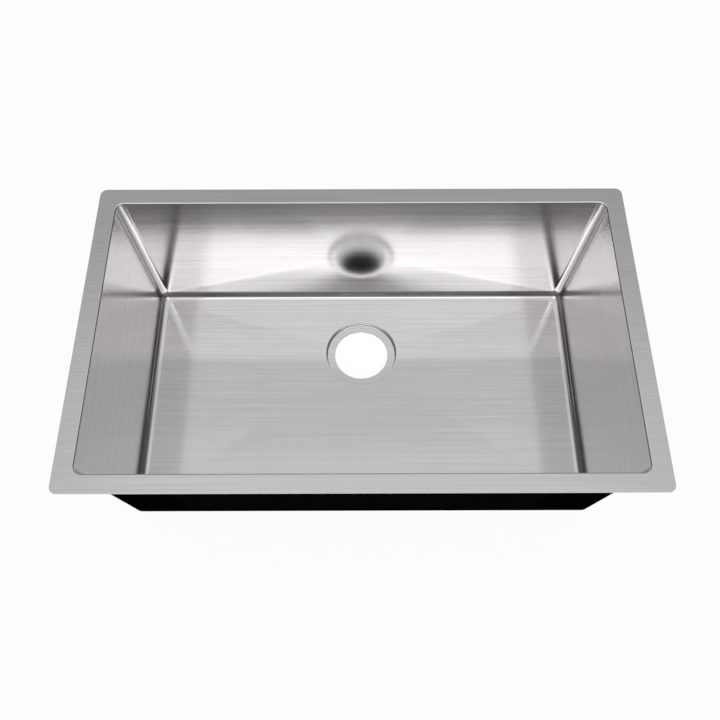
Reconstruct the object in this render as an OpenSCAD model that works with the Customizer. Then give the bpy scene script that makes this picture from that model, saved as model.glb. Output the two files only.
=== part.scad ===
// Undermount kitchen sink with one deep bowl, welded from brushed sheet steel. Millimetres.
// The origin is the centre of the rim's top face, which lies against the underside of a worktop.
// X runs along the width to the right, Y from the front to the back, and Z up.

/* [Rim] */
// Width of the sink over its rim, from left to right
rim_w = 762; // [640:1:900]
// Depth of the sink over its rim, from front to back
rim_d = 457.2; // [400:0.1:560]
// Width of the rim, from its outer edge to the inside of the bowl
rim_band = 25.4; // [18:0.1:40]
// Radius of the rim's four outer corners
rim_corner_r = 10; // [2:0.5:18]
// Inside radius of the bend where the rim turns down into the bowl
rim_bend_r = 0.5; // [0.2:0.1:3]

/* [Bowl] */
// Thickness of the steel sheet
sheet_t = 1.5; // [0.8:0.1:2]
// Depth of the bowl, from the rim's top face to the edge of the floor
bowl_depth = 254; // [200:1:300]
// Inside radius of the upright corners and of the bend into the floor
bowl_r = 12; // [6:0.5:25]
// How far the front wall leans in over the depth of the bowl
front_lean = 13.5; // [0.5:0.5:30]
// Fall of the creased floor, from its edge to the centre of the drain
floor_fall = 6; // [2:0.5:12]

/* [Drain] */
// Distance of the drain's centre from the inside of the back wall
drain_from_back = 112; // [95:1:190]
// Diameter of the hole that takes the strainer
drain_hole_d = 92; // [80:1:100]
// Diameter of the pressed recess round the hole
drain_recess_d = 120; // [110:1:150]
// Depth of the recess below the point where the floor's slopes would meet
drain_recess_depth = 7; // [4:0.5:12]

/* [Sound deadening] */
// Thickness of the sprayed undercoat on the outside of the bowl
coat_t = 1; // [0.4:0.1:2]
// Height of bare steel left between the rim's top face and the undercoat
coat_drop = 25; // [15:1:50]
// Width of bare steel left round the drain recess
coat_ring = 8; // [4:1:20]
// Thickness of the rubber pads
pad_t = 3; // [1.5:0.5:6]
// Radius of the corners of the wall pads
pad_corner_r = 6; // [1:0.5:12]
// Height of the wall pads
wall_pad_h = 150; // [80:1:160]
// Width of the pads on the front and back walls
long_pad_w = 520; // [300:1:560]
// Width of the pads on the side walls
side_pad_w = 260; // [150:1:290]
// Reach of the front floor pad, towards the drain
front_floor_pad_reach = 120; // [60:1:150]
// Reach of the left and right floor pads, towards the drain
side_floor_pad_reach = 150; // [80:1:200]
// Gap between a floor pad and the edges and creases of its slope
floor_pad_gap = 16; // [8:1:24]

/* [Hidden] */
$fn = 96;

// How far a cutting shape runs past what it cuts
overrun = 5;
// Steps to which a derived place is rounded, in one millimetre
place_steps = 1000;

// Outside radius of the bend between the rim and the bowl
roll_r = rim_bend_r + sheet_t;
// How far the rim's bend laps into the flat rim that it is one piece with
roll_lap = sheet_t;
// Height at which the rim's bend ends and the walls begin
wall_top = -roll_r;
// Inner faces of the side walls and of the back wall
side_x = rim_w / 2 - rim_band;
back_y = rim_d / 2 - rim_band;

// Slope and angle of the front wall, measured from upright
lean_slope = front_lean / bowl_depth;
lean_a = atan(lean_slope);

// Centre lines of the rounded corners and bends, where the flat parts of the walls and floor end.
// The front one is rounded, so that its neighbours share their edges exactly.
axis_x = side_x - bowl_r;
axis_back_y = back_y - bowl_r;
axis_z = bowl_r - bowl_depth;
axis_front_exact = bowl_r / cos(lean_a) - back_y + (wall_top - axis_z) * lean_slope;
axis_front_y = round(axis_front_exact * place_steps) / place_steps;

// Drain: its place on the floor, its radii, and the height of its flat ring
drain_y = back_y - drain_from_back;
recess_r = drain_recess_d / 2;
recess_out_r = recess_r + sheet_t;
hole_r = drain_hole_d / 2;
ring_z = -bowl_depth - floor_fall - drain_recess_depth;

// The undercoat's top edge, and the outer faces of the undercoat and the pads, from the inside of the bowl
coat_top = -coat_drop;
coat_out = sheet_t + coat_t;
pad_out = coat_out + pad_t;

// Middle of the wall pads, in height and from front to back
wall_pad_z = (coat_top + axis_z) / 2;
side_pad_y = (axis_back_y + axis_front_y) / 2;

// Corners of the floor, counter-clockwise from the front left, and the edge that starts at each
floor_corners = [
    [-axis_x, axis_front_y],
    [axis_x, axis_front_y],
    [axis_x, axis_back_y],
    [-axis_x, axis_back_y]
];
FRONT = 0;
RIGHT = 1;
LEFT = 3;
function edge_length(edge) = norm(floor_corners[(edge + 1) % 4] - floor_corners[edge]);
// Drain centre in the frame of an edge: along the edge, and square to it towards the inside
function drain_from_edge(edge) =
    let (step = [0, drain_y] - floor_corners[edge], s = sin(90 * edge), c = cos(90 * edge))
    [step.x * c + step.y * s, step.y * c - step.x * s];

steel = [0.74, 0.75, 0.76];
coat_black = [0.05, 0.05, 0.05];
rubber_black = [0.1, 0.1, 0.11];

// Rounded rectangle about the origin
module rounded(w, d, r) {
    square([w - 2 * r, d], center = true);
    square([w, d - 2 * r], center = true);
    for (x = [-1, 1], y = [-1, 1])
        translate([x * (w / 2 - r), y * (d / 2 - r)])
            circle(r);
}

// A quarter of a flat ring, between the first axis and the second
module quarter_ring(r_in, r_out) {
    intersection() {
        difference() {
            circle(r_out);
            circle(r_in);
        }
        square(2 * r_out);
    }
}

// A section drawn in Y and Z, run along X over the flat length of the front and back
module along_x() {
    translate([-axis_x, 0, 0])
        rotate([90, 0, 90])
            linear_extrude(2 * axis_x)
                children();
}

// A section drawn in X and Z, run along Y
module along_y(y_from, y_to) {
    translate([0, y_to, 0])
        rotate([90, 0, 0])
            linear_extrude(y_to - y_from)
                children();
}

// Left or right: everything on the sides is drawn on the right, and mirrored for the left
module on_side(side) {
    mirror([side < 0 ? 1 : 0, 0, 0])
        children();
}

// The frame of the front wall: on the centre line of its bend, with Z up along the wall
module leaning() {
    translate([0, axis_front_y, axis_z])
        rotate([lean_a, 0, 0])
            children();
}

// What leans is drawn too long, and cut off level at the top
module level_at(top) {
    reach = bowl_r + pad_out + overrun;
    difference() {
        children();
        translate([-rim_w / 2, -back_y - reach, top])
            cube([rim_w, 2 * reach, 2 * reach]);
    }
}
function leaning_run(top) = (top - axis_z) / cos(lean_a) + bowl_r;

// The layers below lie between two distances from the inside of the bowl, so the same
// shapes give the steel and the undercoat on it.
module back_layer(inner, outer, top) {
    translate([-axis_x, back_y + inner, axis_z])
        cube([2 * axis_x, outer - inner, top - axis_z]);
}

module back_corner_layer(side, inner, outer, top) {
    on_side(side)
        translate([axis_x, axis_back_y, axis_z])
            linear_extrude(top - axis_z)
                quarter_ring(bowl_r + inner, bowl_r + outer);
}

module front_layer(inner, outer, top) {
    translate([-axis_x, -bowl_r - outer, 0])
        cube([2 * axis_x, outer - inner, leaning_run(top)]);
}

module front_corner_layer(side, inner, outer, top) {
    on_side(side)
        translate([axis_x, 0, 0])
            mirror([0, 1, 0])
                linear_extrude(leaning_run(top))
                    quarter_ring(bowl_r + inner, bowl_r + outer);
}

module side_layer(side, inner, outer, top) {
    front_top_y = axis_front_y - (top - axis_z) * lean_slope;
    on_side(side)
        translate([side_x + inner, 0, 0])
            rotate([90, 0, 90])
                linear_extrude(outer - inner)
                    polygon([
                        [axis_back_y, axis_z],
                        [axis_back_y, top],
                        [front_top_y, top],
                        [axis_front_y, axis_z]
                    ]);
}

// The bends round the floor's edge, with a ball corner at each end. They turn through a right
// angle, and the wedge that the leaning front wall doesn't need is cut off.
module floor_edge_layer(inner, outer) {
    r_in = bowl_r + inner;
    r_out = bowl_r + outer;
    difference() {
        union() {
            for (front = [0, 1])
                translate([0, front ? axis_front_y : axis_back_y, axis_z])
                    mirror([0, front, 0]) {
                        along_x()
                            mirror([0, 1])
                                quarter_ring(r_in, r_out);
                        for (side = [-1, 1])
                            on_side(side)
                                translate([axis_x, 0, 0])
                                    mirror([0, 0, 1])
                                        rotate_extrude(angle = 90)
                                            quarter_ring(r_in, r_out);
                    }
            for (side = [-1, 1])
                on_side(side)
                    translate([axis_x, 0, axis_z])
                        along_y(axis_front_y, axis_back_y)
                            mirror([0, 1])
                                quarter_ring(r_in, r_out);
        }
        leaning()
            translate([-rim_w / 2, -2 * r_out, 0])
                cube([rim_w, 2 * r_out, 2 * r_out]);
    }
}

// The four slopes of the floor, which meet in creases from its corners to the drain
module floor_layer(inner, outer) {
    function level(drop) = concat(
        [for (corner = floor_corners) [corner.x, corner.y, -bowl_depth - drop]],
        [[0, drain_y, -bowl_depth - floor_fall - drop]]
    );
    edges = [for (edge = [0:3]) [edge, (edge + 1) % 4]];
    polyhedron(
        points = concat(level(inner), level(outer)),
        faces = concat(
            [for (e = edges) [e[1], e[0], 4]],
            [for (e = edges) [e[0] + 5, e[1] + 5, 9]],
            [for (e = edges) [e[0], e[1], e[1] + 5, e[0] + 5]]
        )
    );
}

// The pad under one slope of the floor, with even gaps to the slope's edge and both its creases
module floor_pad(edge, reach) {
    tip = drain_from_edge(edge);
    start_slope = tip.x / tip.y;
    end_slope = (edge_length(edge) - tip.x) / tip.y;
    start_gap = floor_pad_gap * sqrt(1 + start_slope * start_slope);
    end_gap = floor_pad_gap * sqrt(1 + end_slope * end_slope);
    near = floor_pad_gap;
    far = floor_pad_gap + reach;
    tall = floor_fall + pad_out + overrun;
    color(rubber_black)
        intersection() {
            translate([floor_corners[edge].x, floor_corners[edge].y, -bowl_depth - tall])
                rotate([0, 0, 90 * edge])
                    linear_extrude(tall)
                        polygon([
                            [start_gap + near * start_slope, near],
                            [edge_length(edge) - end_gap - near * end_slope, near],
                            [edge_length(edge) - end_gap - far * end_slope, far],
                            [start_gap + far * start_slope, far]
                        ]);
            floor_layer(coat_out, pad_out);
        }
}

// The section of the rim's bend, from the centre line of the rounded corners, with its lap into
// the flat rim
module roll_section() {
    translate([bowl_r + roll_r, 0])
        mirror([1, 0])
            quarter_ring(rim_bend_r, roll_r);
    translate([bowl_r + roll_r, rim_bend_r])
        square([roll_lap, sheet_t]);
}

// The rim: a flat frame whose inner edge rolls down to meet the walls
module rim_frame() {
    color(steel) {
        difference() {
            translate([0, 0, -sheet_t])
                linear_extrude(sheet_t)
                    rounded(rim_w, rim_d, rim_corner_r);
            translate([0, 0, -sheet_t - overrun])
                linear_extrude(sheet_t + 2 * overrun)
                    rounded(2 * (side_x + roll_r), 2 * (back_y + roll_r), bowl_r + roll_r);
        }
        for (turn = [0, 180])
            rotate(turn) {
                translate([0, axis_back_y, -roll_r])
                    along_x()
                        roll_section();
                translate([axis_x, 0, -roll_r])
                    along_y(-axis_back_y, axis_back_y)
                        roll_section();
            }
        for (x = [0, 1], y = [0, 1])
            mirror([x, 0, 0])
                mirror([0, y, 0])
                    translate([axis_x, axis_back_y, -roll_r])
                        rotate_extrude(angle = 90)
                            roll_section();
    }
}

module back_wall() {
    color(steel)
        back_layer(0, sheet_t, wall_top);
}

module front_wall() {
    color(steel)
        level_at(wall_top)
            leaning()
                front_layer(0, sheet_t, wall_top);
}

module side_wall(side) {
    color(steel)
        side_layer(side, 0, sheet_t, wall_top);
}

// The rounded strips that join the walls
module back_corner(side) {
    color(steel)
        back_corner_layer(side, 0, sheet_t, wall_top);
}

module front_corner(side) {
    color(steel)
        level_at(wall_top)
            leaning()
                front_corner_layer(side, 0, sheet_t, wall_top);
}

// The floor with its upturned edges, and the drain recess pressed into it
module floor_pan() {
    color(steel)
        difference() {
            union() {
                floor_edge_layer(0, sheet_t);
                floor_layer(0, sheet_t);
                intersection() {
                    translate([0, drain_y, ring_z - sheet_t])
                        cylinder(r = recess_out_r, h = -bowl_depth - ring_z + sheet_t);
                    floor_layer(0, floor_fall + drain_recess_depth + 2 * sheet_t);
                }
            }
            translate([0, drain_y, ring_z])
                cylinder(r = recess_r, h = -bowl_depth - ring_z + overrun);
            translate([0, drain_y, ring_z - sheet_t - overrun])
                cylinder(r = hole_r, h = sheet_t + 2 * overrun);
        }
}

// The sprayed skin on the outside of the bowl, face by face, masked off below the rim
module back_undercoat() {
    color(coat_black) {
        back_layer(sheet_t, coat_out, coat_top);
        for (side = [-1, 1])
            back_corner_layer(side, sheet_t, coat_out, coat_top);
    }
}

module front_undercoat() {
    color(coat_black)
        level_at(coat_top)
            leaning() {
                front_layer(sheet_t, coat_out, coat_top);
                for (side = [-1, 1])
                    front_corner_layer(side, sheet_t, coat_out, coat_top);
            }
}

module side_undercoat(side) {
    color(coat_black)
        side_layer(side, sheet_t, coat_out, coat_top);
}

// The skin under the floor is masked off round the drain too
module floor_undercoat() {
    color(coat_black)
        difference() {
            union() {
                floor_edge_layer(sheet_t, coat_out);
                floor_layer(sheet_t, coat_out);
            }
            translate([0, drain_y, ring_z - overrun])
                cylinder(r = recess_out_r + coat_ring, h = -bowl_depth - ring_z + 2 * overrun);
        }
}

module back_wall_pad() {
    color(rubber_black)
        translate([0, back_y + coat_out, wall_pad_z])
            rotate([-90, 0, 0])
                linear_extrude(pad_t)
                    rounded(long_pad_w, wall_pad_h, pad_corner_r);
}

module front_wall_pad() {
    color(rubber_black)
        leaning()
            translate([0, -bowl_r - coat_out, (wall_pad_z - axis_z) / cos(lean_a)])
                rotate([90, 0, 0])
                    linear_extrude(pad_t)
                        rounded(long_pad_w, wall_pad_h, pad_corner_r);
}

module side_wall_pad(side) {
    color(rubber_black)
        on_side(side)
            translate([side_x + coat_out, side_pad_y, wall_pad_z])
                rotate([90, 0, 90])
                    linear_extrude(pad_t)
                        rounded(side_pad_w, wall_pad_h, pad_corner_r);
}

rim_frame();
back_wall();
front_wall();
side_wall(-1);  // left_wall
side_wall(1);  // right_wall
back_corner(-1);  // back_left_corner
back_corner(1);  // back_right_corner
front_corner(-1);  // front_left_corner
front_corner(1);  // front_right_corner
floor_pan();
back_undercoat();
front_undercoat();
side_undercoat(-1);  // left_undercoat
side_undercoat(1);  // right_undercoat
floor_undercoat();
back_wall_pad();
front_wall_pad();
side_wall_pad(-1);  // left_wall_pad
side_wall_pad(1);  // right_wall_pad
floor_pad(FRONT, front_floor_pad_reach);  // front_floor_pad
floor_pad(LEFT, side_floor_pad_reach);  // left_floor_pad
floor_pad(RIGHT, side_floor_pad_reach);  // right_floor_pad
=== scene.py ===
# %% [markdown]
# # Dressing an undermount kitchen sink
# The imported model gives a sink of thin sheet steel: a flat rim, four walls joined by rounded
# strips, a creased floor with a drain recess, and a black sound-deadening skin outside.
# This lesson keeps every size of it and gives each piece the finish that steel, sprayed skin
# and rubber have. Everything is in metres, with Z up and the rim's top face at height zero.

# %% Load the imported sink
import math
import bmesh
import bpy
import numpy as np
from mathutils import Matrix, Vector


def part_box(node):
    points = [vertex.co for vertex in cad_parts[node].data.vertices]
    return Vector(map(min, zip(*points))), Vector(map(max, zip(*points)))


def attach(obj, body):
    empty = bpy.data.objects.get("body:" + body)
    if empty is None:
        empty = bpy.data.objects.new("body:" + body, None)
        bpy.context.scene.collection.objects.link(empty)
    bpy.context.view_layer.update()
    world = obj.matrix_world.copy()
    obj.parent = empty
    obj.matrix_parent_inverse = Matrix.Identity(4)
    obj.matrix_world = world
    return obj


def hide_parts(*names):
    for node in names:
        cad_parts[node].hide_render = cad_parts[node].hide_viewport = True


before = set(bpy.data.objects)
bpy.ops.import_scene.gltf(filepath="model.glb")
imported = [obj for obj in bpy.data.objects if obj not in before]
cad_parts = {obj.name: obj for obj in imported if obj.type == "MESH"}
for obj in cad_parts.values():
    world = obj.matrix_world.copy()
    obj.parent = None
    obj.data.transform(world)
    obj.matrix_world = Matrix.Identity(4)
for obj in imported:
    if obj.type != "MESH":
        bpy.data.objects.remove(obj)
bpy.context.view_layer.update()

# %% [markdown]
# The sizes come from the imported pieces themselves, so a piece made here lands exactly on the
# piece it stands for. The radii, the front wall's lean, its foot and the drain don't show in the
# pieces' boxes, so they are typed, as a drawing would give them.

# %% Sizes of the sink
MM = 0.001
half_w, half_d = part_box("rim_frame")[1].x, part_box("rim_frame")[1].y
side_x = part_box("right_wall")[0].x
back_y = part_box("back_wall")[0].y
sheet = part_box("right_wall")[1].x - side_x
wall_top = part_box("back_wall")[1].z
bend_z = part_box("back_wall")[0].z
bend_r = 12 * MM
roll_r = -wall_top
rim_corner_r = 10 * MM
centre_x = side_x - bend_r
centre_back = back_y - bend_r
centre_front = -178.427 * MM
lean_in, bowl_depth = 13.5, 254
lean = math.atan(lean_in / bowl_depth)
drain_y = 91.2 * MM
hole_r, recess_r = 46 * MM, 60 * MM
floor_z = bend_z - bend_r
floor_fall = 6 * MM
ledge_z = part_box("floor_pan")[0].z + sheet
print(f"bowl {2 * side_x:.4f} wide, floor edge at {floor_z:.4f}, drain ledge at {ledge_z:.4f}")

# %% [markdown]
# A piece is a list of corner points and a list of faces. Making the mesh from plain lists keeps
# each point where the drawing puts it. Doubled points are merged and the faces turned outwards,
# so that the piece is one closed skin.

# %% Turning points and faces into a piece
SHARP = math.radians(50)
SAME_POINT = 2e-6
NO_LENGTH = 1e-7


def make_piece(name, points, faces, slot, thickness=0.0, set_back=0.0):
    """Makes a closed piece, or a thick sheet whose inner face is given and may be set back."""
    mesh = bpy.data.meshes.new(name)
    mesh.from_pydata([tuple(p) for p in points], [], faces)
    bm = bmesh.new()
    bm.from_mesh(mesh)
    bmesh.ops.remove_doubles(bm, verts=bm.verts, dist=SAME_POINT)
    bmesh.ops.dissolve_degenerate(bm, edges=bm.edges, dist=NO_LENGTH)
    if not thickness:
        bmesh.ops.recalc_face_normals(bm, faces=bm.faces)
    bm.normal_update()
    moves = [v.normal * (-set_back * v.calc_shell_factor()) for v in bm.verts]
    for v, move in zip(bm.verts, moves):
        v.co += move
    bm.to_mesh(mesh)
    bm.free()
    mesh.shade_smooth()
    piece = bpy.data.objects.new(name, mesh)
    bpy.context.scene.collection.objects.link(piece)
    if thickness:
        wall = piece.modifiers.new("sheet thickness", "SOLIDIFY")
        wall.thickness = thickness
        wall.offset = -1
        wall.use_even_offset = True
        settle(piece)
    piece.data.set_sharp_from_angle(angle=SHARP)
    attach(piece, "root")
    print(name, len(piece.data.vertices), "points", len(piece.data.polygons), "faces")
    return piece


def settle(piece):
    """Turns what the modifiers made into the piece's own mesh, and removes them."""
    graph = bpy.context.evaluated_depsgraph_get()
    graph.update()
    made = bpy.data.meshes.new_from_object(piece.evaluated_get(graph))
    piece.modifiers.clear()
    piece.data = made
    made.name = piece.name


def grid_faces(rows, columns, first=0, closed=False):
    """Quads between points laid out in rows, each row closed on itself or not."""
    faces = []
    for r in range(rows - 1):
        for c in range(columns if closed else columns - 1):
            a, b = first + r * columns + c, first + r * columns + (c + 1) % columns
            faces.append((a, b, b + columns, a + columns))
    return faces

# %% [markdown]
# ## Node trees in plain signs
# A finish is mostly arithmetic on textures, and a shape that follows a rule is arithmetic on
# places. This small class wraps a socket, so that a * b or 1 - a adds the right node, and the
# recipes below read like the sums they are. The same class serves materials and shapes.

# %% A socket that can be added and multiplied
class Wire:
    def __init__(self, tree, socket):
        self.tree, self.socket = tree, socket

    def maths(self, operation, *others):
        return self.tree.add("ShaderNodeMath", {"operation": operation}, [self, *others])

    def __add__(self, other):
        return self.maths("ADD", other)

    def __sub__(self, other):
        return self.maths("SUBTRACT", other)

    def __mul__(self, other):
        return self.maths("MULTIPLY", other)

    def __truediv__(self, other):
        return self.maths("DIVIDE", other)

    def __rsub__(self, other):
        return self.tree.add("ShaderNodeMath", {"operation": "SUBTRACT"}, [other, self])

    __radd__, __rmul__ = __add__, __mul__


# %% A node tree that grows one call at a time
def fill_ramp(ramp, stops):
    """Gives a colour ramp its greys, as pairs of place and grey."""
    ramp.interpolation = "EASE"
    while len(ramp.elements) < len(stops):
        ramp.elements.new(1.0)
    for element, (place, grey) in zip(ramp.elements, stops):
        element.position = place
        element.color = (grey, grey, grey, 1)


class Tree:
    def __init__(self, tree):
        self.tree = tree
        tree.nodes.clear()

    def add(self, kind, settings=None, inputs=None, output=0):
        """Adds a node: first its settings, then the values or wires of its sockets."""
        node = self.tree.nodes.new(kind)
        for key, value in (settings or {}).items():
            if key == "stops":
                fill_ramp(node.color_ramp, value)
            else:
                setattr(node, key, value)
        pairs = inputs.items() if isinstance(inputs, dict) else enumerate(inputs or [])
        for key, value in pairs:
            wires = value if isinstance(value, list) else [value]
            if isinstance(wires[0], Wire):
                for wire in wires:
                    self.tree.links.new(wire.socket, node.inputs[key])
            else:
                node.inputs[key].default_value = value
        return Wire(self, node.outputs[output]) if len(node.outputs) else None

# %% A material is such a tree
class Finish(Tree):
    def __init__(self, name):
        self.material = bpy.data.materials.new(name)
        self.material.use_nodes = True
        super().__init__(self.material.node_tree)

    def place(self, scale=(1, 1, 1)):
        """Where a point lies on the sink, in metres, stretched by a scale along each axis."""
        coordinates = self.add("ShaderNodeTexCoord", output="Object")
        return self.add("ShaderNodeMapping", None, {"Vector": coordinates, "Scale": scale})

    def noise(self, vector, size=1.0, detail=2.0, rough=0.5):
        return self.add("ShaderNodeTexNoise", {"noise_dimensions": "3D"},
                        {"Vector": vector, "Scale": size, "Detail": detail, "Roughness": rough}, "Fac")

    def blend(self, factor, a, b):
        """Mixes two colours: sockets 6 and 7 and output 2 are the mix node's ones for colour."""
        return self.add("ShaderNodeMix", {"data_type": "RGBA"}, {"Factor": factor, 6: a, 7: b}, 2)

    def bump(self, height, distance):
        return self.add("ShaderNodeBump", None, {"Height": height, "Distance": distance})

    def finish(self, **sockets):
        """Ends the material: what is given feeds the shader's sockets of those names."""
        named = {key.replace("_", " "): value for key, value in sockets.items()}
        shader = self.add("ShaderNodeBsdfPrincipled", None, named)
        self.add("ShaderNodeOutputMaterial", None, {"Surface": shader})
        return self.material

# %% [markdown]
# ## Brushed steel
# An abrasive belt leaves fine parallel scratches, so the steel mirrors sharply along them and
# smears across them. An image of scratches would repeat and blur. Noise stretched a hundredfold
# and more along the brushing does neither, and gives three bands of streaks: fine scratches, clear
# lines and wide passes of the belt. A fourth, unstretched noise is the soft clouding of handled
# steel. They shift the colour a little and the roughness more, and the two finest bands tilt the
# surface across the streaks. The colour is a little warmer than a neutral grey, as steel's is.
#
# The real back wall leans back by about as much as the front one, and what it mirrors shows it:
# the room comes dark at its top, and the drain's image stands about halfway up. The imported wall
# is upright and keeps its shape here. Its finish adds a height that falls evenly towards the rim,
# so the bump tilts the mirror upwards by the lean, all over the wall.

# %% The steel recipe
# How much light the steel gives back, and its tint
TONE, WARMTH = 0.72, (1.012, 0.996, 1.0)
# The darkest and the lightest streak, as shares of the tone
DARK_STREAK, LIGHT_STREAK = 0.7, 1.3
FINE_WIDTH, FINE_LENGTH = 0.9 * MM, 160 * MM
LINE_WIDTH, LINE_LENGTH = 2.2 * MM, 380 * MM
PASS_WIDTH, PASS_LENGTH = 7 * MM, 700 * MM
CLOUDS_IN_A_METRE = 7
# What the streaks add to the roughness on average, and the share that coining adds
MEAN_ROUGHENING = 0.06
COINED_ROUGHER = 0.7
QUARTER_TURN = 0.25


def brushed_steel(name, along, tone, rough, smear, depth, coined=0.0, leaning=0.0):
    """Steel brushed along one axis, rougher within the coined radius, mirroring as if it leant back."""
    f = Finish(name)

    def streaks(width, length, detail=2.0):
        scale = [1 / width] * 3
        scale["XYZ".index(along)] = 1 / length
        return f.noise(f.place(scale), 1.0, detail, 0.6)

    fine = streaks(FINE_WIDTH, FINE_LENGTH)
    lines = streaks(LINE_WIDTH, LINE_LENGTH)
    passes = streaks(PASS_WIDTH, PASS_LENGTH, 3.0)
    clouds = f.noise(f.place([CLOUDS_IN_A_METRE] * 3), 1.0, 3.0, 0.55)
    mixed = fine * 0.25 + lines * 0.45 + passes * 0.2 + clouds * 0.1
    dark, light = ([tone * share * c for c in WARMTH] + [1] for share in (DARK_STREAK, LIGHT_STREAK))
    colour = f.blend(mixed, dark, light)
    roughness = fine * 0.04 + lines * 0.06 + clouds * 0.03 + (rough - MEAN_ROUGHENING)
    if coined:
        flat = f.add("ShaderNodeVectorMath", {"operation": "MULTIPLY"}, {0: f.place(), 1: (1, 1, 0)})
        from_drain = f.add("ShaderNodeVectorMath", {"operation": "DISTANCE"},
                           {0: flat, 1: (0, drain_y, 0)}, "Value")
        roughness = roughness * (1 + from_drain.maths("LESS_THAN", coined) * COINED_ROUGHER)
    height = (fine * 0.3 + lines * 0.7) * depth
    if leaning:
        level = f.add("ShaderNodeSeparateXYZ", None, [f.place()], "Z")
        height = height - level * math.tan(leaning)
    return f.finish(Base_Color=colour, Metallic=1.0, Roughness=roughness, Normal=f.bump(height, 1.0),
                    Anisotropic=smear, Anisotropic_Rotation=QUARTER_TURN)


# %% One steel for each way that the sheet was brushed
SCRATCH = 0.003 * MM
coined_r = recess_r - 3 * MM
steel_rim = brushed_steel("brushed_rim_steel", "X", TONE, 0.25, 0.3, SCRATCH)
steel_long = brushed_steel("brushed_bowl_steel", "X", TONE, 0.12, 0.0, SCRATCH)
steel_back = brushed_steel("brushed_back_steel", "X", TONE, 0.15, 0.0, SCRATCH, leaning=lean)
steel_floor = brushed_steel("brushed_floor_steel", "X", TONE, 0.12, 0.0, SCRATCH, coined=coined_r)
# The side walls' steel is the same steel set 5% darker: painted shade on the side walls
steel_side_painted_darker = brushed_steel("brushed_side_steel", "Y", TONE * 0.95, 0.19, 0.0, 0.002 * MM)
steel_up = brushed_steel("brushed_corner_steel", "Z", TONE, 0.12, 0.0, 0.001 * MM)
steels = (steel_rim, steel_long, steel_back, steel_floor, steel_side_painted_darker, steel_up)
print("steels:", ", ".join(material.name for material in steels))

# %% [markdown]
# ## Sprayed skin and rubber
# The black skin is sprayed on thick and dries matt with a fine orange-peel. The pads are
# moulded rubber: smoother, a little greyer, with faint flow clouds. Both are a fine noise in the
# bump, which gives the grain, under a broad noise in the colour and the roughness. Both colours
# are their own black set darker still, far below black paint or rubber: painted shade for the
# shade under the rim where they show.

# %% Black skin and pads
# Grains and blotches in a metre
PEEL_GRAIN, PEEL_BLOTCH = 420.0, 22.0
RUBBER_GRAIN, RUBBER_CLOUD = 900.0, 14.0
# The blacks of skin and rubber, darkened further as painted shade under the rim
SKIN_BLACK_AND_PAINTED_SHADE = ((0.0004, 0.0004, 0.0004, 1), (0.003, 0.003, 0.003, 1))
RUBBER_BLACK_AND_PAINTED_SHADE = ((0.002, 0.002, 0.0021, 1), (0.006, 0.006, 0.0062, 1))
ORANGE_PEEL, MOULD_GRAIN = 0.12 * MM, 0.03 * MM


def sprayed_skin(name):
    f = Finish(name)
    grain = f.noise(f.place(), PEEL_GRAIN, 3.0, 0.6)
    blotch = f.noise(f.place(), PEEL_BLOTCH, 3.0, 0.5)
    colour = f.blend(grain * 0.6 + blotch * 0.4, *SKIN_BLACK_AND_PAINTED_SHADE)
    return f.finish(Base_Color=colour, Roughness=0.72 + blotch * 0.16,
                    Normal=f.bump(grain, ORANGE_PEEL), Specular_IOR_Level=0.0)


def moulded_rubber(name):
    f = Finish(name)
    grain = f.noise(f.place(), RUBBER_GRAIN, 2.0, 0.5)
    cloud = f.noise(f.place(), RUBBER_CLOUD, 4.0, 0.6)
    colour = f.blend(cloud, *RUBBER_BLACK_AND_PAINTED_SHADE)
    return f.finish(Base_Color=colour, Roughness=0.58 + cloud * 0.18,
                    Normal=f.bump(grain, MOULD_GRAIN), Specular_IOR_Level=0.0)


def give(piece, material):
    """Makes this the only material of a piece."""
    piece.data.materials.clear()
    piece.data.materials.append(material)


skin_black = sprayed_skin("sprayed_black_skin")
pad_black = moulded_rubber("moulded_black_rubber")
print("blacks:", skin_black.name, "and", pad_black.name)

# %% [markdown]
# ## Rim
# The rim is one flat sheet with a small outer radius, rolled down at its inner edge into the
# bowl. It could be a flat board with a bevel, but the bright line that runs round the bowl's
# mouth is the roll itself, so the section is drawn point by point and carried round the mouth.
# A point close to each end of a bend keeps the flat parts flat in the reflections.

# %% The rim, from loops carried round the mouth
NEAR = 0.3 * MM


def rounded_loop(x, y, r, steps=20):
    """Points round a rectangle with rounded corners, with two close to the ends of each corner."""
    loop = []
    for k, (sx, sy) in enumerate(((1, 1), (-1, 1), (-1, -1), (1, -1))):
        centre = Vector((sx * (x - r), sy * (y - r)))
        start = k * math.pi / 2
        enter = Vector((-math.sin(start), math.cos(start)))
        leave = Vector((-math.cos(start), -math.sin(start)))
        arc = [centre + r * Vector((math.cos(a), math.sin(a)))
               for a in np.linspace(start, start + math.pi / 2, steps + 1)]
        loop += [arc[0] - NEAR * enter, *arc, arc[-1] + NEAR * leave]
    return loop


def mouth(away, z):
    """A loop round the bowl's mouth, at a distance from its inner face."""
    return [(*p, z) for p in rounded_loop(side_x + away, back_y + away, bend_r + away)]


def outline(inset, z):
    """A loop round the rim's outside, set in by a distance."""
    return [(*p, z) for p in rounded_loop(half_w - inset, half_d - inset, rim_corner_r - inset)]


def quarter(steps):
    """Angles from nothing to a right angle."""
    return np.linspace(0, math.pi / 2, steps + 1)


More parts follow.
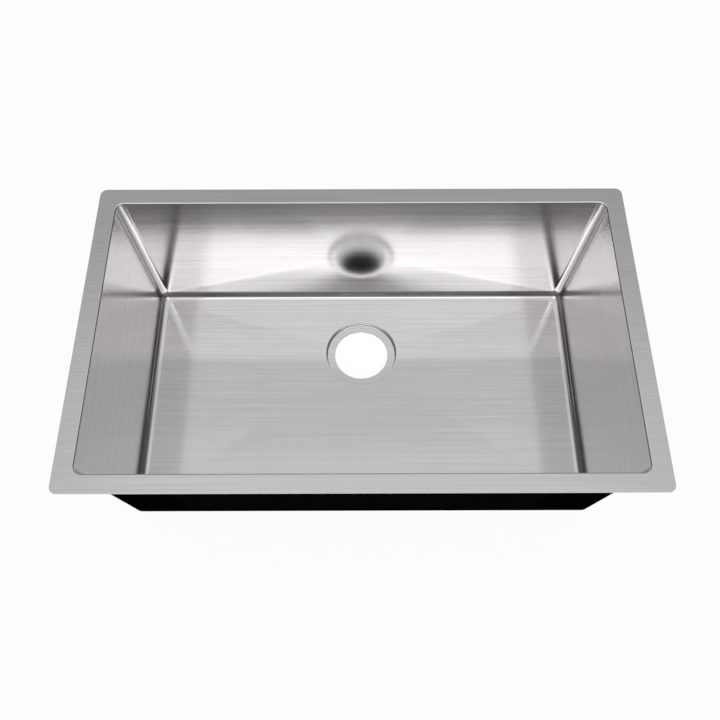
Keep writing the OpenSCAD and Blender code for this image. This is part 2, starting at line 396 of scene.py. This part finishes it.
edge_r = 0.35 * MM
inner_r = roll_r - sheet
ROLL_STEPS, EDGE_STEPS = 10, 4
section = [mouth(roll_r - roll_r * math.cos(a), wall_top + roll_r * math.sin(a))
           for a in quarter(ROLL_STEPS)]
section += [mouth(roll_r + NEAR, 0), outline(edge_r + NEAR, 0)]
section += [outline(edge_r - edge_r * math.sin(a), edge_r * math.cos(a) - edge_r)
            for a in quarter(EDGE_STEPS)]
section += [outline(edge_r - edge_r * math.cos(a), -sheet + edge_r - edge_r * math.sin(a))
            for a in quarter(EDGE_STEPS)]
section += [outline(edge_r + NEAR, -sheet), mouth(roll_r + NEAR, -sheet)]
section += [mouth(roll_r - inner_r * math.sin(a), wall_top + inner_r * math.cos(a))
            for a in quarter(EDGE_STEPS)]
points = [p for loop in section for p in loop]
count = len(section[0])
faces = grid_faces(len(section), count, closed=True)
last = (len(section) - 1) * count
faces += [(last + c, last + (c + 1) % count, (c + 1) % count, c) for c in range(count)]
rim = make_piece("rim_sheet", points, faces, "rim_steel")
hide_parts("rim_frame")

# %% [markdown]
# ## Shapes that follow a rule
# The four corner strips and the seven rubber pads each repeat one shape at other sizes. Each
# shape is written once as a Geometry Nodes tree with named inputs for its sizes. The tree runs
# on a small start mesh, its result becomes a plain mesh, and the modifier is taken off again.

# %% A tree of geometry nodes, and how a piece is made with it
class Shape(Tree):
    def __init__(self, name, sizes):
        self.group = bpy.data.node_groups.new(name, "GeometryNodeTree")
        super().__init__(self.group)
        self.group.interface.new_socket("Start", in_out="INPUT", socket_type="NodeSocketGeometry")
        self.group.interface.new_socket("Shape", in_out="OUTPUT", socket_type="NodeSocketGeometry")
        for size, kind in sizes.items():
            self.group.interface.new_socket(size, in_out="INPUT", socket_type="NodeSocket" + kind)
        self.entry = self.group.nodes.new("NodeGroupInput")

    def size(self, name):
        return Wire(self, self.entry.outputs[name])

    def vector(self, x, y, z):
        return self.add("ShaderNodeCombineXYZ", None, [x, y, z])

    def close(self, shape):
        """Ends the tree: instances become real, and the finish is set."""
        real = self.add("GeometryNodeRealizeInstances", None, [shape])
        dressed = self.add("GeometryNodeSetMaterial", None,
                           {"Geometry": real, "Material": self.size("Finish")})
        self.add("NodeGroupOutput", None, [dressed])


def grow(name, shape, start, sizes):
    """Runs a shape's tree on a start mesh with the given sizes, and keeps the plain mesh."""
    piece = bpy.data.objects.new(name, start)
    bpy.context.scene.collection.objects.link(piece)
    grower = piece.modifiers.new(shape.group.name, "NODES")
    grower.node_group = shape.group
    for socket in shape.group.interface.items_tree:
        if socket.in_out == "INPUT" and socket.name in sizes:
            grower[socket.identifier] = sizes[socket.name]
    settle(piece)
    give(piece, sizes["Finish"])
    turn_outwards(piece.data)
    piece.data.set_sharp_from_angle(angle=SHARP)
    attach(piece, "root")
    print(name, len(piece.data.vertices), "points", len(piece.data.polygons), "faces")
    return piece


def turn_outwards(mesh):
    """Merges doubled points and turns every face outwards."""
    bm = bmesh.new()
    bm.from_mesh(mesh)
    bmesh.ops.remove_doubles(bm, verts=bm.verts, dist=SAME_POINT)
    bmesh.ops.recalc_face_normals(bm, faces=bm.faces)
    bm.to_mesh(mesh)
    bm.free()

# %% [markdown]
# ## Corner strips
# Where two walls meet, the sheet is bent to a 12 mm radius. The strip shows as a narrow band of
# light and dark, because its surface turns through a right angle in a few centimetres. The back
# strips are upright. The front ones lean with the front wall, so their top points slide along
# the leaning line until they reach the level top. The tree starts from an open pipe and bends
# it: a point's place round the pipe says where it lies on the section of the strip.

# %% The rule of a corner strip
STRIP_STEPS = 24
# A quarter of a step, so that rounding never gives a point its neighbour's number
OFF_THE_EDGE = 0.25
strip_shape = Shape("corner_strip", {
    "Radius": "Float", "Sheet": "Float", "Side": "Float", "Front or back": "Float",
    "Lean": "Float", "Foot": "Vector", "Top": "Float", "Finish": "Material"})
round_count = 2 * (STRIP_STEPS + 1)
pipe = strip_shape.add("GeometryNodeMeshCylinder", {"fill_type": "NGON"},
                       {"Vertices": round_count, "Radius": 1.0, "Depth": 1.0}, "Mesh")
at = strip_shape.add("GeometryNodeInputPosition")
parts = [strip_shape.add("ShaderNodeSeparateXYZ", None, [at], axis) for axis in "XYZ"]
turn = parts[1].maths("ARCTAN2", parts[0]) / (2 * math.pi)
number = ((turn + 1 + OFF_THE_EDGE / round_count).maths("FRACT") * round_count).maths("FLOOR")
outer = number.maths("GREATER_THAN", STRIP_STEPS + 0.5)
step = number * (1 - outer) + (round_count - 1 - number) * outer
angle = step * (math.pi / 2 / STRIP_STEPS)
radius = strip_shape.size("Radius") + strip_shape.size("Sheet") * outer
lean_cos, lean_sin = (strip_shape.size("Lean").maths(wave) for wave in ("COSINE", "SINE"))
foot = [strip_shape.add("ShaderNodeSeparateXYZ", None, [strip_shape.size("Foot")], axis) for axis in "XYZ"]
out = radius * angle.maths("SINE")
bent_x = foot[0] + strip_shape.size("Side") * radius * angle.maths("COSINE")
bent_y = foot[1] + strip_shape.size("Front or back") * out * lean_cos
bent_z = foot[2] - out * lean_sin
at_top = parts[2].maths("GREATER_THAN", 0.0)
slide = at_top * (strip_shape.size("Top") - bent_z) / lean_cos
bent = strip_shape.vector(bent_x, bent_y - slide * lean_sin, bent_z + slide * lean_cos)
placed = strip_shape.add("GeometryNodeSetPosition", None, {"Geometry": pipe, "Position": bent})
strip_shape.close(strip_shape.add("GeometryNodeSetShadeSmooth", None,
                                  {"Geometry": placed, "Shade Smooth": True}))

# %% Four corner strips from one rule
for node, side, front in (("back_left_corner", -1, False), ("back_right_corner", 1, False),
                          ("front_left_corner", -1, True), ("front_right_corner", 1, True)):
    strip_foot = (side * centre_x, centre_front if front else centre_back, bend_z)
    strip = grow(node.replace("corner", "strip"), strip_shape, bpy.data.meshes.new(node + "_start"), {
        "Radius": bend_r, "Sheet": sheet, "Side": float(side), "Front or back": -1.0 if front else 1.0,
        "Lean": lean if front else 0.0, "Foot": strip_foot, "Top": wall_top,
        "Finish": steel_up})
    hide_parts(node)

# %% [markdown]
# ## Floor pan
# The floor is pressed from one sheet. Four slopes fall to the drain and meet in creases, the
# edges turn up in bends, and the corners are parts of a ball. All of it follows from one rule:
# a line runs from the drain's centre to each point on the floor's edge, and the height falls
# evenly along it. So the piece is laid out on such lines, and the creases are the four lines
# that end in the corners.

# %% Lines from the drain to the floor's edge
lip, foot_r, hole_edge = 2.0 * MM, 2.2 * MM, 0.4 * MM
lip_reach = recess_r + lip
lip_drop = 4.6 * MM
corners = [Vector((-centre_x, centre_front)), Vector((centre_x, centre_front)),
           Vector((centre_x, centre_back)), Vector((-centre_x, centre_back))]
outwards = [Vector((0, -1)), Vector((1, 0)), Vector((0, 1)), Vector((-1, 0))]
drain = Vector((0, drain_y))
edge_points = []
for k in range(4):
    a, b = corners[k], corners[(k + 1) % 4]
    near = 4 * MM / (b - a).length
    shares = [0, near, *np.linspace(0.08, 0.92, 13), 1 - near, 1]
    edge_points.append([a.lerp(b, t) for t in shares])
ring = [p for points_of_edge in edge_points for p in points_of_edge[:-1]]


def on_line(end, reach, drop=None):
    """A point at a given reach from the drain's centre. Its height is the floor's, or given."""
    away = end - drain
    flat = drain + away.normalized() * reach
    level = floor_z - lip_drop * (away.length - reach) / (away.length - lip_reach)
    return (*flat, level if drop is None else drop)

# %% The floor from a reach outwards: its slopes, its bends and its ball corners
BEND_POINTS = 15
CORNER_STEPS = 16


def bend_point(base, away, a):
    """A point on a bend, at an angle that starts at the floor and opens away from its centre line."""
    up = Vector((0, 0, 1))
    return Vector((*base, bend_z)) + bend_r * (math.sin(a) * Vector((*away, 0)) - math.cos(a) * up)


def floor_face(inner_rings, start):
    """Points and faces of the floor's inner face, from given rings at the drain out to the bends' top."""
    rings = list(inner_rings)
    for share in (0, 0.15, 0.4, 0.7, 0.92, 0.985, 1):
        rings.append([on_line(p, start + share * ((p - drain).length - start)) for p in ring])
    points = [p for loop in rings for p in loop]
    faces = grid_faces(len(rings), len(ring), closed=True)
    for k in range(4):
        end_angle = math.pi / 2 - (lean if k == 0 else 0)
        first = len(points)
        turns = np.linspace(0, end_angle, BEND_POINTS)
        for a in turns:
            points += [bend_point(p, outwards[k], a) for p in edge_points[k]]
        faces += grid_faces(len(turns), len(edge_points[k]), first)
        first = len(points)
        swings = quarter(CORNER_STEPS)
        for share in np.linspace(0, 1, BEND_POINTS):
            for swing in swings:
                away = math.cos(swing) * outwards[k - 1] + math.sin(swing) * outwards[k]
                to_front = max(0.0, -away.y)
                stop = math.atan2(math.cos(lean), to_front * math.sin(lean))
                points.append(bend_point(corners[k], away, share * stop))
        faces += grid_faces(BEND_POINTS, len(swings), first)
    return points, [face[::-1] for face in faces]

# %% The drain's hole, ledge and lip, then the pan
hole_depth = 1.0 * MM
RECESS_STEPS = 6
rings = [[on_line(p, hole_r, ledge_z - hole_depth) for p in ring]]
rings += [[on_line(p, hole_r + hole_edge - hole_edge * math.cos(a),
                   ledge_z - hole_edge + hole_edge * math.sin(a))
           for p in ring] for a in quarter(EDGE_STEPS)]
rings += [[on_line(p, hole_r + hole_edge + NEAR, ledge_z) for p in ring]]
rings += [[on_line(p, recess_r - foot_r - NEAR, ledge_z) for p in ring]]
rings += [[on_line(p, recess_r - foot_r + foot_r * math.sin(a), ledge_z + foot_r - foot_r * math.cos(a))
           for p in ring] for a in quarter(RECESS_STEPS)]
rings += [[on_line(p, lip_reach - lip * math.cos(a), floor_z - lip_drop - lip + lip * math.sin(a))
           for p in ring] for a in quarter(RECESS_STEPS)]
pan = make_piece("floor_pan_sheet", *floor_face(rings, lip_reach + NEAR), "bowl_steel", thickness=sheet)
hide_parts("floor_pan")
print("floor pan box", [round(v, 5) for v in (*pan.bound_box[0], *pan.bound_box[6])])

# %% [markdown]
# The skin under the floor is the same face again, moved down by the sheet's thickness and given
# its own. It starts outside the recess, because the drain's fitting seals on bare steel.

# %% The sprayed skin under the floor
skin_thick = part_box("back_undercoat")[1].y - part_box("back_wall")[1].y
bare_ring = 8 * MM
skin_points, skin_faces = floor_face([], recess_r + sheet + bare_ring)
floor_skin = make_piece("floor_skin", skin_points, skin_faces, "undercoat",
                        thickness=skin_thick, set_back=sheet)
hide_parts("floor_undercoat")

# %% [markdown]
# ## Rubber pads
# Seven pads deaden the sound: one on each wall and one under each of the three long slopes of
# the floor. Each is cut from thick rubber sheet and lies on the sprayed skin. A pad could be a
# beveled box, but the outlines differ, so the tree takes the outline as its start mesh: it
# rounds the corners, carries the section of the edge round the outline, and closes both faces.
# A pad is cut flat and laid in place by its axes, as the real one is cut and pressed on.

# %% The rule of a pad
pad_shape = Shape("rubber_pad", {"Corner radius": "Float", "Edge radius": "Float", "Thickness": "Float",
                                 "Place": "Vector", "Turn": "Rotation", "Finish": "Material"})
outline_curve = pad_shape.add("GeometryNodeMeshToCurve", None, [pad_shape.size("Start")])
rounded_curve = pad_shape.add("GeometryNodeFilletCurve", {"mode": "POLY"}, {
    "Curve": outline_curve, "Count": 10, "Radius": pad_shape.size("Corner radius")})
upright = pad_shape.add("GeometryNodeSetCurveNormal", {"mode": "Z_UP"}, {"Curve": rounded_curve})
edge_size, thick = pad_shape.size("Edge radius"), pad_shape.size("Thickness")
side_line = pad_shape.add("GeometryNodeCurvePrimitiveLine", None,
                          {"Start": (0, 0, 0), "End": pad_shape.vector(0.0, edge_size - thick, 0.0)})
quarter_arc = pad_shape.add("GeometryNodeCurveArc", {"mode": "RADIUS"}, {
    "Resolution": 7, "Radius": edge_size, "Start Angle": math.pi, "Sweep Angle": math.pi / 2})
edge_curve = pad_shape.add("GeometryNodeTransform", None, {
    "Geometry": quarter_arc, "Translation": pad_shape.vector(edge_size, edge_size - thick, 0.0)})
edge_section = pad_shape.add("GeometryNodeJoinGeometry", None, {0: [side_line, edge_curve]})
rim_of_pad = pad_shape.add("GeometryNodeCurveToMesh", None,
                           {"Curve": upright, "Profile Curve": edge_section})
smooth_rim = pad_shape.add("GeometryNodeSetShadeSmooth", None,
                           {"Geometry": rim_of_pad, "Shade Smooth": True})
inward = pad_shape.add("ShaderNodeVectorMath", {"operation": "SCALE"},
                       {0: pad_shape.add("GeometryNodeInputNormal"), "Scale": edge_size})
drawn_in = pad_shape.add("GeometryNodeSetPosition", None, {"Geometry": upright, "Offset": inward})
faces_of_pad = []
for curve, height in ((upright, 0.0), (drawn_in, thick)):
    face = pad_shape.add("GeometryNodeFillCurve", {"mode": "NGONS"}, [curve])
    flat = pad_shape.add("GeometryNodeSetShadeSmooth", None, {"Geometry": face, "Shade Smooth": False})
    faces_of_pad.append(pad_shape.add("GeometryNodeTransform", None, {
        "Geometry": flat, "Translation": pad_shape.vector(0.0, 0.0, height)}))
whole = pad_shape.add("GeometryNodeJoinGeometry", None, {0: [smooth_rim, *faces_of_pad]})
welded = pad_shape.add("GeometryNodeMergeByDistance", None, {"Geometry": whole, "Distance": 5e-6})
turned = pad_shape.add("GeometryNodeTransform", None, {
    "Geometry": welded, "Translation": pad_shape.size("Place"), "Rotation": pad_shape.size("Turn")})
pad_shape.close(turned)
print("shapes that follow a rule:", strip_shape.group.name, "and", pad_shape.group.name)

# %% The wall pads, each cut flat and laid on the skin
PAD_EDGE_R = 0.9 * MM
wall_corner_r, slope_corner_r = 6 * MM, 4 * MM
pad_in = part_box("right_wall_pad")[0].x - side_x
pad_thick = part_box("right_wall_pad")[1].x - side_x - pad_in
pad_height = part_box("back_wall_pad")[1].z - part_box("back_wall_pad")[0].z
wall_pad_z = (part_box("back_wall_pad")[1].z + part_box("back_wall_pad")[0].z) / 2
side_pad_y = (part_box("left_wall_pad")[1].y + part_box("left_wall_pad")[0].y) / 2


def cut_pad(node, outline_points, place, axes, corner_r):
    """Cuts a pad from its flat outline. The axes are its width, its height and outwards."""
    flat = bpy.data.meshes.new(node + "_outline")
    flat.from_pydata([(x, y, 0) for x, y in outline_points], [], [range(len(outline_points))])
    turn = Matrix(axes).transposed().to_euler()
    pad = grow(node.replace("pad", "rubber"), pad_shape, flat, {
        "Corner radius": corner_r, "Edge radius": PAD_EDGE_R, "Thickness": pad_thick,
        "Place": tuple(place), "Turn": tuple(turn), "Finish": pad_black})
    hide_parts(node)


def oblong(node, axis):
    """The outline of a wall pad, whose width lies along the given axis."""
    low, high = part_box(node)
    w = (high[axis] - low[axis]) / 2
    return [(-w, -pad_height / 2), (w, -pad_height / 2), (w, pad_height / 2), (-w, pad_height / 2)]


cut_pad("back_wall_pad", oblong("back_wall_pad", 0), (0, back_y + pad_in, wall_pad_z),
        ((1, 0, 0), (0, 0, -1), (0, 1, 0)), wall_corner_r)
up_front = Vector((0, -math.sin(lean), math.cos(lean)))
out_front = Vector((0, -math.cos(lean), -math.sin(lean)))
front_place = Vector((0, centre_front, bend_z)) + out_front * (bend_r + pad_in)
front_place += up_front * (wall_pad_z - bend_z) / math.cos(lean)
cut_pad("front_wall_pad", oblong("front_wall_pad", 0), front_place,
        ((1, 0, 0), up_front, out_front), wall_corner_r)
for side, node in ((-1, "left_wall_pad"), (1, "right_wall_pad")):
    cut_pad(node, oblong(node, 1), (side * (side_x + pad_in), side_pad_y, wall_pad_z),
            ((0, side, 0), (0, 0, 1), (side, 0, 0)), wall_corner_r)

# %% [markdown]
# A pad under a slope has four sides: two run along the floor's edge, and two along the creases,
# all with the same gap. So each end moves in along the edge as fast as its crease does.

# %% The pads under the slopes, with even gaps to the creases
def slope_pad(node, k):
    """Cuts the pad under the slope that starts at corner k of the floor."""
    a, b = corners[k], corners[(k + 1) % 4]
    along, inwards = (b - a).normalized(), -outwards[k]
    low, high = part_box(node)
    reaches = sorted((Vector(p[:2]) - a).dot(inwards) for p in (low, high))
    tip = (drain - a).dot(along), (drain - a).dot(inwards)
    first, last = tip[0] / tip[1], ((b - a).length - tip[0]) / tip[1]
    steep = math.hypot(1, floor_fall / tip[1])
    points = []
    for reach, ends in zip(reaches, ((0, 1), (1, 0))):
        start = reaches[0] * math.hypot(1, first) + reach * first
        stop = (b - a).length - reaches[0] * math.hypot(1, last) - reach * last
        points += [((start, stop)[end], -reach * steep) for end in ends]
    down_slope = Vector((*inwards, -floor_fall / tip[1])).normalized()
    axes = (Vector((*along, 0)), -down_slope, Vector((*along, 0)).cross(-down_slope))
    cut_pad(node, points[::-1], Vector((*a, floor_z)) + axes[2] * pad_in, axes, slope_corner_r)


for node, k in (("front_floor_pad", 0), ("right_floor_pad", 1), ("left_floor_pad", 3)):
    slope_pad(node, k)

# %% [markdown]
# ## Finishes
# Rim, floor and long walls are brushed from side to side, the side walls from front to back, and
# the corner strips from top to bottom. The rim also smears light across its brushing. Blender
# lays a smear round the middle of the mesh's texture space, so the rim's is moved far to the
# front: seen from the rim, it then lies in the same direction everywhere.

# %% Each piece gets its finish
def lay_grain_across(piece):
    """Turns the smear of light on a flat piece the same way all over it."""
    piece.data.use_auto_texspace = False
    piece.data.texspace_location = (0, -50, 0)
    piece.data.texspace_size = (1, 1, 1)


give(rim, steel_rim)
lay_grain_across(rim)
give(pan, steel_floor)
give(floor_skin, skin_black)
give(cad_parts["back_wall"], steel_back)
give(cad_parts["front_wall"], steel_long)
for name in ("left_wall", "right_wall"):
    give(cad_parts[name], steel_side_painted_darker)
for name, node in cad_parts.items():
    if name.endswith("undercoat"):
        give(node, skin_black)
print("finishes given to", len(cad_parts), "packed pieces and what stands for them")

# %% [markdown]
# ## Floor
# The sink stands on a plain pale sheet of paper. A camera's ray sees the paper nearly white, which
# is the pale background, and the matt paper that is mixed in keeps the sink's shadow. Mirror rays
# see it a little darker. Under the drain lies a disc of painted light and painted shade. Straight
# down through the drain, camera rays see the disc fully white: painted light over the sink's shadow
# there. At a slant a real drain shows the dark under the sink, so mirror rays find the disc black:
# this painted shade, mirrored in the back wall, is the black spot above the drain.

# %% Studio floor
paper_half = 6.0
drain_underside, clearance = -268.5 * MM, 0.5 * MM
ground = drain_underside - clearance
PAPER_WHITE, PAPER_MIRRORED = 0.96, 0.85
SHADE_CORE, SHADE_END, SHADE_BEHIND = 27 * MM, 62 * MM, 17 * MM
shade_place = (0, drain_y + SHADE_BEHIND, ground)
studio = bpy.data.meshes.new("studio_floor")
paper_corners = [(x * paper_half, y * paper_half, ground) for x, y in ((-1, -1), (1, -1), (1, 1), (-1, 1))]
studio.from_pydata(paper_corners, [], [(0, 1, 2, 3)])
studio_floor = bpy.data.objects.new("studio_floor", studio)
bpy.context.scene.collection.objects.link(studio_floor)
paper = Finish("studio_paper")
glow = paper.add("ShaderNodeEmission", None, {"Color": (1, 1, 1, 1), "Strength": 1.0})
camera_ray = paper.add("ShaderNodeLightPath", output="Is Camera Ray")
glossy_ray = paper.add("ShaderNodeLightPath", output="Is Glossy Ray")
through_ray = paper.add("ShaderNodeLightPath", output="Is Transmission Ray")
from_shade = paper.add("ShaderNodeVectorMath", {"operation": "DISTANCE"},
                       {0: paper.add("ShaderNodeTexCoord", output="Object"), 1: shade_place}, "Value")
# A disc under the drain, 1 inside it: the mask of the painted light and the painted shade
dark = paper.add("ShaderNodeMapRange", {"interpolation_type": "SMOOTHSTEP"}, {
    "Value": from_shade, "From Min": SHADE_CORE, "From Max": SHADE_END,
    "To Min": 1.0, "To Max": 0.0}, "Result")
# Inside the disc camera rays see full white glow: painted light over the shadow under the drain
camera_white_with_painted_drain_light = PAPER_WHITE + dark * (1 - PAPER_WHITE)
seen = camera_ray * camera_white_with_painted_drain_light + (glossy_ray + through_ray) * (1 - dark) * PAPER_MIRRORED
# Inside the disc mirror rays see black paper and no glow: painted shade for the dark under the sink
painted_black_under_drain = paper.blend(dark * glossy_ray, (0.8, 0.8, 0.8, 1), (0, 0, 0, 1))
matt = paper.add("ShaderNodeBsdfDiffuse", None, {"Color": painted_black_under_drain})
mixed = paper.add("ShaderNodeMixShader", None, {0: seen, 1: matt, 2: glow})
paper.add("ShaderNodeOutputMaterial", None, {"Surface": mixed})
give(studio_floor, paper.material)
print(f"paper at {ground:.4f}, below the drain ledge at {ledge_z:.4f}")

# %% [markdown]
# ## Room and soft boxes
# A mirror-like bowl shows its surroundings, so the room is what makes the steel read as steel. It
# is a grey that changes with the angle from the front horizon over the top to the back one. One
# step, from dark to bright about halfway up in front, is what the back wall mirrors as its dark
# top and its bright middle. The sides of the room are dimmer, which draws the dark lines along
# the bends and the inner rim. Two wide soft boxes add a little light and soften the shadow.

# %% Soft boxes and the room
def soft_box(name, place, aim, size, power):
    light = bpy.data.lights.new(name, "AREA")
    light.shape = "RECTANGLE"
    light.size, light.size_y = size
    light.energy = power
    lamp = bpy.data.objects.new(name, light)
    bpy.context.scene.collection.objects.link(lamp)
    lamp.location = place
    lamp.rotation_euler = (Vector(aim) - Vector(place)).to_track_quat("-Z", "Y").to_euler()
    return lamp


room = bpy.data.worlds.new("studio_room")
bpy.context.scene.world = room
room.use_nodes = True
# The brightest grey that the ramp can hold, and the room's greys by their angle in degrees
PEAK = 3.0
sky = [(0, 0.25), (36, 0.3), (41.3, 0.32), (43.8, 1.0), (46, 1.8), (51, 1.95), (55, 1.6), (59, 1.2),
       (63, 1.0), (66, 0.95), (70, 1.15), (76, 1.0), (86, 0.85), (96, 0.7), (106, 0.66), (116, 0.66),
       (124, 0.45), (134, 0.36), (146, 0.42), (160, 0.35), (180, 0.25)]
# How far to the side a direction starts to dim and has dimmed, and the share of light left there
SIDES_START, SIDES_FULL, SIDES_DIM = 0.47, 0.76, 0.3
tent = Tree(room.node_tree)
way = tent.add("ShaderNodeTexCoord", output="Generated")
way_x, way_y, way_z = (tent.add("ShaderNodeSeparateXYZ", None, [way], axis) for axis in "XYZ")
over = way_z.maths("ARCTAN2", way_y * -1) / math.pi
stops = [(degrees / 180, bright / PEAK) for degrees, bright in sky]
grey = tent.add("ShaderNodeValToRGB", {"stops": stops}, [over])
beside = tent.add("ShaderNodeMapRange", {"interpolation_type": "SMOOTHSTEP"}, {
    "Value": way_x.maths("ABSOLUTE"), "From Min": SIDES_START, "From Max": SIDES_FULL,
    "To Min": 1.0, "To Max": SIDES_DIM}, "Result")
background = tent.add("ShaderNodeBackground", None,
                      {"Color": (1, 1, 1, 1), "Strength": grey * beside * PEAK})
tent.add("ShaderNodeOutputWorld", None, [background])
soft_box("front_box", (0, -3.4, 3.75), (0, 0.1, -0.26), (5.6, 0.35), 2.5)
soft_box("overhead_box", (0, 0.1, 2.4), (0, 0, -0.2), (2.4, 1.6), 1)
print("room with", len(sky), "greys and two soft boxes")

# %% [markdown]
# ## Camera
# The camera stands where the picture of the real sink was taken: from this place the edges of
# the rim and the bowl, drawn at their real sizes, fit that picture best. Its lens is given as
# the picture's own focal length and middle, in pixels, which become Blender's lens and shift.

# %% Camera
PICTURE = 720
FOCAL_PIXELS = 667.5
MIDDLE_X, MIDDLE_Y = 359.67, 407.6
CAMERA_PLACE = Vector((-0.00345, -0.43499, 0.78705))
LOOKS_DOWN, TURNS, TILTS = 67.996, -0.053, -0.117


def look_from(place, pitch, yaw, roll):
    """A camera matrix from the angles by which it looks down, turns and tilts."""
    p, y, r = (math.radians(v) for v in (pitch, yaw, roll))
    ahead = Vector((0, math.cos(p), -math.sin(p)))
    up = Vector((0, math.sin(p), math.cos(p)))
    right = Vector((1, 0, 0))
    turn = Matrix.Rotation(y, 3, "Z")
    ahead, up, right = turn @ ahead, turn @ up, turn @ right
    right, up = math.cos(r) * right + math.sin(r) * up, math.cos(r) * up - math.sin(r) * right
    matrix = Matrix((right, up, -ahead)).transposed().to_4x4()
    matrix.translation = place
    return matrix


lens = bpy.data.cameras.new("photo_camera")
camera = bpy.data.objects.new("photo_camera", lens)
bpy.context.scene.collection.objects.link(camera)
camera.matrix_world = look_from(CAMERA_PLACE, LOOKS_DOWN, TURNS, TILTS)
lens.sensor_width = 36
lens.lens = FOCAL_PIXELS / PICTURE * lens.sensor_width
lens.shift_x = (PICTURE / 2 - MIDDLE_X) / PICTURE
lens.shift_y = (MIDDLE_Y - PICTURE / 2) / PICTURE
lens.clip_start = 0.01
bpy.context.scene.camera = camera
bpy.context.scene.view_settings.view_transform = "Standard"
print(f"camera {CAMERA_PLACE.length:.3f} m from the rim's middle, lens {lens.lens:.2f} mm")
